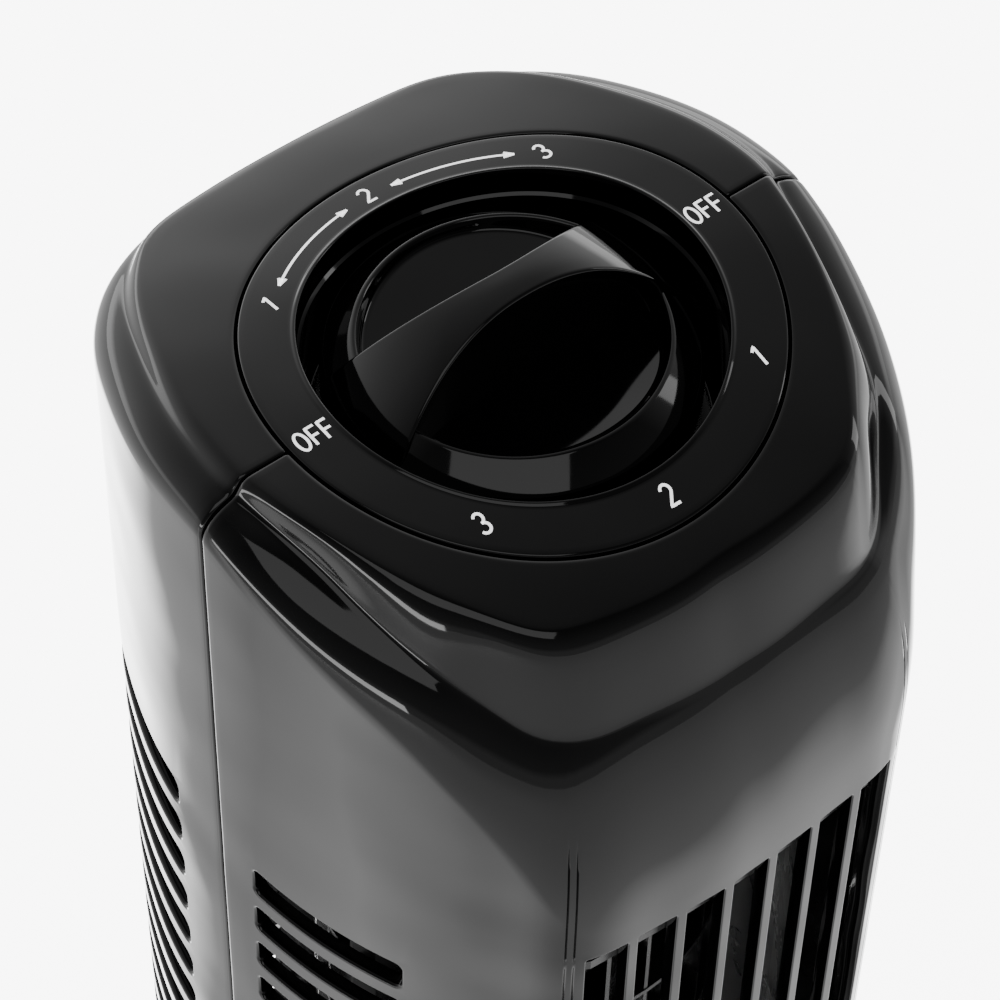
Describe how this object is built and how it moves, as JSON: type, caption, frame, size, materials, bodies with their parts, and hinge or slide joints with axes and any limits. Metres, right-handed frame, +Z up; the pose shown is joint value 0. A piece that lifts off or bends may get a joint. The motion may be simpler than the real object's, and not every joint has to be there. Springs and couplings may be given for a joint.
{
  "type": "tower fan",
  "caption": "Slim oscillating tower fan: gloss casing in two halves, arched top with a recessed rotary knob, barred outlet, slotted intake, crossflow impeller, round base.",
  "frame": {"origin": "on the floor, at the centre of the base under the swivel axis", "axes": "+Z up along the swivel axis, -Y towards the outlet grille, +X to the right when looking along +Y"},
  "size_m": [0.24, 0.24, 0.7458],
  "materials": {
    "gloss_black": "high gloss moulded",
    "satin_black": "satin moulded",
    "duct_black": "matt moulded",
    "rubber_black": "matt rubber",
    "bright_steel": "machined",
    "zinc_steel": "zinc plated",
    "aluminium": "die cast",
    "copper_wire": "enamelled copper winding",
    "white_plastic": "natural moulded"
  },
  "bodies": {
    "base": {"base_front_half": "gloss_black", "base_rear_half": "gloss_black", "foot_1": "rubber_black", "foot_2": "rubber_black", "foot_3": "rubber_black", "foot_4": "rubber_black", "pivot_plate": "satin_black", "glide_ring": "white_plastic", "retaining_washer": "zinc_steel", "retaining_nut": "zinc_steel", "cord_gland": "rubber_black", "base_screw_1": "zinc_steel", "base_screw_2": "zinc_steel", "base_screw_3": "zinc_steel", "base_screw_4": "zinc_steel"},
    "tower": {"front_shell": "gloss_black", "rear_shell": "gloss_black", "dial_ring": "gloss_black", "tower_floor": "satin_black", "scroll_duct": "duct_black", "tongue_duct": "duct_black", "duct_bottom_plate": "duct_black", "duct_top_plate": "duct_black", "rubber_mount_left": "rubber_black", "rubber_mount_right": "rubber_black", "bearing_rubber": "rubber_black", "wiring_harness": "rubber_black", "motor_stator": "bright_steel", "top_bearing": "bright_steel", "switch_nut": "zinc_steel", "motor_bracket": "zinc_steel", "swing_motor": "zinc_steel", "motor_lower_cover": "aluminium", "motor_upper_cover": "aluminium", "coil_lower": "copper_wire", "coil_upper": "copper_wire", "rotary_switch": "white_plastic", "run_capacitor": "white_plastic", "terminal_block": "white_plastic", "shell_screw_1": "zinc_steel", "shell_screw_2": "zinc_steel", "shell_screw_3": "zinc_steel", "shell_screw_4": "zinc_steel", "shell_screw_5": "zinc_steel", "shell_screw_6": "zinc_steel"},
    "impeller": {"impeller": "duct_black", "impeller_pin": "bright_steel", "motor_shaft": "bright_steel", "motor_rotor": "aluminium"},
    "knob": {"speed_knob": "gloss_black", "switch_shaft": "bright_steel"},
    "crank": {"crank_arm": "bright_steel"}
  },
  "joints": [
    {"name": "tower_swing", "type": "hinge", "parent": "base", "child": "tower", "pos_m": [0, 0, 0.0395], "axis": [0, 0, 1], "range_deg": [-35, 35]},
    {"name": "impeller_spin", "type": "hinge", "parent": "tower", "child": "impeller", "pos_m": [0, -0.006, 0.154], "axis": [0, 0, 1], "continuous": true},
    {"name": "knob_turn", "type": "hinge", "parent": "tower", "child": "knob", "pos_m": [0, 0, 0.7105], "axis": [0, 0, 1], "continuous": true},
    {"name": "crank_turn", "type": "hinge", "parent": "tower", "child": "crank", "pos_m": [0, -0.018, 0.0385], "axis": [0, 0, 1], "range_deg": [-90, 90]}
  ],
  "couplings": [
    {"joint": "crank_turn", "follows": "tower_swing", "ratio": -2.5714}
  ]
}
